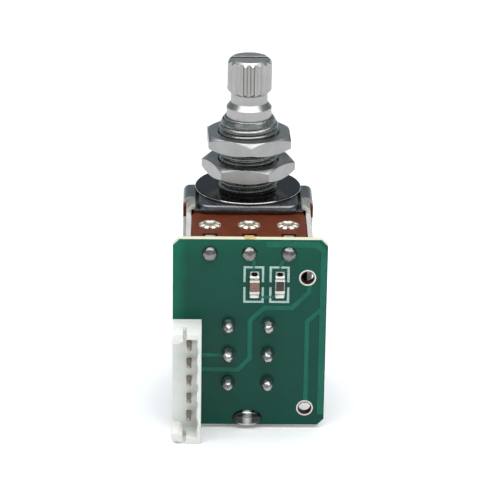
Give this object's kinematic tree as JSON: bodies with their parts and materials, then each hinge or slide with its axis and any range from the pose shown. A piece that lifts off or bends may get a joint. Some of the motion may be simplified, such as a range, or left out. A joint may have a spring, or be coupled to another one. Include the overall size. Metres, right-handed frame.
{
  "type": "push-pull rotary potentiometer",
  "caption": "Rotary potentiometer with a splined shaft, threaded bushing, push-pull switch section and a small circuit board with a wire connector.",
  "frame": {"origin": "on the shaft axis, on the face of the front plate that meets the panel's washer", "axes": "+Z along the shaft towards its tip, -Y towards the circuit board, +X to the right seen from the board"},
  "size_m": [0.02, 0.0288, 0.046],
  "materials": {
    "turned_shaft": "turned, nickel plated, satin",
    "bushing": "nickel plated brass, threaded",
    "nuts": "nickel plated steel, satin",
    "washer": "bright pressed steel",
    "front_plate": "dark plated die-cast, smooth",
    "folded_steel": "zinc plated sheet, semi-bright",
    "tinned_metal": "tin plated, bright",
    "phenolic": "pressed brown phenolic paper board",
    "moulded_phenolic": "moulded brown phenolic",
    "carbon_film": "printed carbon film",
    "white_plastic": "moulded white nylon",
    "spring_bronze": "rolled phosphor bronze",
    "solder_mask": "green solder mask on glass epoxy",
    "solder": "tin solder, smooth",
    "capacitor_ceramic": "fired ceramic, tan brown",
    "resistor_glaze": "black glaze on alumina"
  },
  "bodies": {
    "housing": {"bushing": "bushing", "nut_upper": "nuts", "nut_lower": "nuts", "washer": "washer", "front_plate": "front_plate", "clamp_frame": "folded_steel", "wafer": "phenolic", "resistive_track": "carbon_film", "collector_ring": "tinned_metal", "pot_case": "moulded_phenolic", "eyelet_1": "tinned_metal", "eyelet_2": "tinned_metal", "eyelet_3": "tinned_metal", "pot_terminal_1": "tinned_metal", "pot_terminal_2": "tinned_metal", "pot_terminal_3": "tinned_metal", "switch_frame": "folded_steel", "switch_base": "moulded_phenolic", "detent_spring": "spring_bronze", "circuit_board": "solder_mask", "hole_rings": "tinned_metal", "pot_solder": "solder", "switch_solder": "solder", "ground_solder": "solder", "chip_solder": "solder", "capacitor_body": "capacitor_ceramic", "capacitor_ends": "tinned_metal", "resistor_body": "resistor_glaze", "resistor_ends": "tinned_metal", "connector_housing": "white_plastic", "connector_solder": "solder", "switch_terminal_1": "tinned_metal", "switch_terminal_2": "tinned_metal", "switch_terminal_3": "tinned_metal", "switch_terminal_4": "tinned_metal", "switch_terminal_5": "tinned_metal", "switch_terminal_6": "tinned_metal", "connector_pin_1": "tinned_metal", "connector_pin_2": "tinned_metal", "connector_pin_3": "tinned_metal", "connector_pin_4": "tinned_metal", "connector_pin_5": "tinned_metal"},
    "plunger": {"slider": "white_plastic", "bridge_contact_left": "spring_bronze", "bridge_contact_right": "spring_bronze"},
    "shaft": {"shaft": "turned_shaft"},
    "rotor": {"rotor": "white_plastic", "wiper_contact": "spring_bronze"}
  },
  "joints": [
    {"name": "shaft_turn", "type": "hinge", "parent": "housing", "child": "rotor", "pos_m": [0, 0, 0], "axis": [0, 0, 1], "range_deg": [-150, 150]},
    {"name": "push_pull", "type": "slide", "parent": "rotor", "child": "shaft", "axis": [0, 0, 1], "range_m": [0, 0.004]},
    {"name": "switch_slide", "type": "slide", "parent": "housing", "child": "plunger", "axis": [0, 0, 1], "range_m": [0, 0.004]}
  ],
  "couplings": [
    {"joint": "switch_slide", "follows": "push_pull", "ratio": 1}
  ]
}
